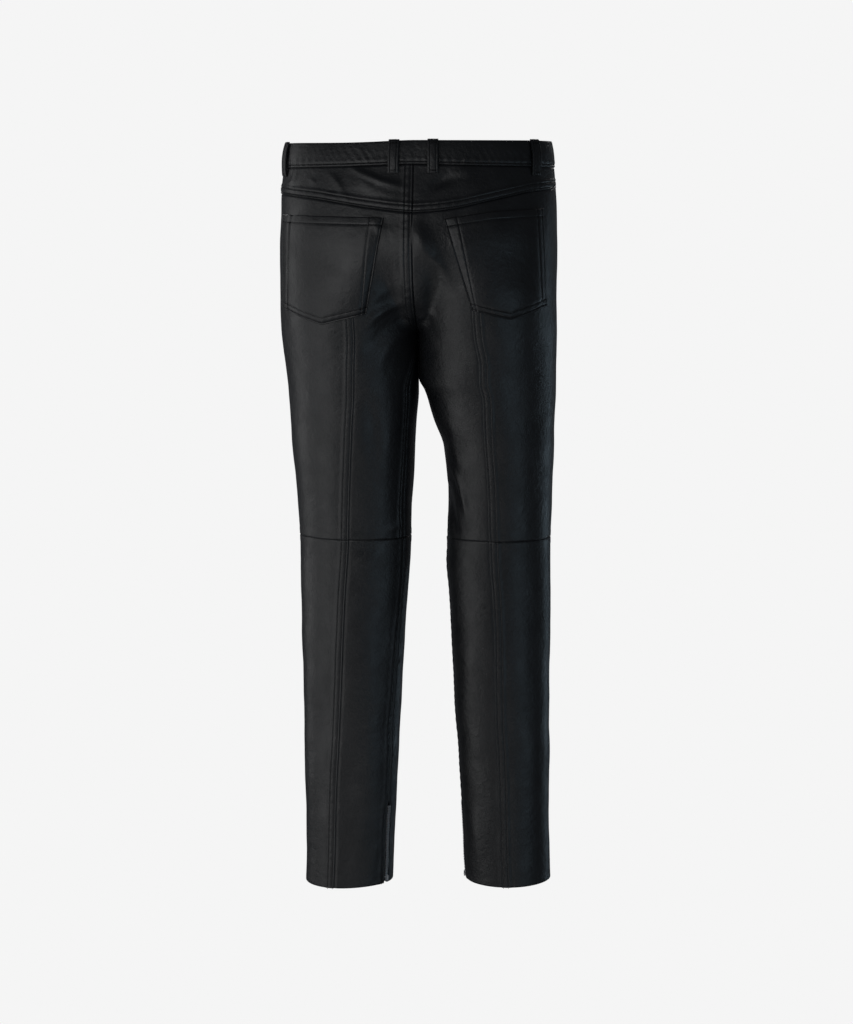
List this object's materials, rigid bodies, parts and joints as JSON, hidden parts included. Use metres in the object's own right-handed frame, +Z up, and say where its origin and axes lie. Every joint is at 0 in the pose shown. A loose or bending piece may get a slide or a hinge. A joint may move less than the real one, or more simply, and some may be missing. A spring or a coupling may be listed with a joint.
{
  "type": "leather trousers",
  "caption": "Slim black leather trousers, filled out and hollow, with a pointed yoke, patch back pockets, belt loops, knee and back leg seams and ankle zips.",
  "frame": {"origin": "the middle of the waist, half way up the waistband at the sides, where a wearer's waist holds the trousers", "axes": "+Z up, the front faces -Y, and the wearer's left is +X"},
  "size_m": [0.3884, 0.2242, 1.0701],
  "materials": {
    "leather": "smooth semi-gloss nappa, black",
    "metal": "polished gunmetal-grey zip and button metal"
  },
  "bodies": {
    "root": {"waistband": "leather", "yoke_left": "leather", "yoke_right": "leather", "back_inner_upper_left": "leather", "back_outer_upper_left": "leather", "front_upper_left": "leather", "back_inner_lower_left": "leather", "back_outer_lower_left": "leather", "front_lower_left": "leather", "back_inner_upper_right": "leather", "back_outer_upper_right": "leather", "front_upper_right": "leather", "back_inner_lower_right": "leather", "back_outer_lower_right": "leather", "front_lower_right": "leather", "pocket_back_left": "leather", "pocket_back_right": "leather", "loop_back_left": "leather", "loop_back_right": "leather", "loop_side_left": "leather", "loop_side_right": "leather", "loop_front_left": "leather", "loop_front_right": "leather", "fly_shield": "leather", "fly_zip": "metal", "waist_button": "metal", "ankle_zip_left": "metal", "ankle_zip_right": "metal", "ankle_slider_left": "metal", "ankle_slider_right": "metal"}
  },
  "joints": []
}
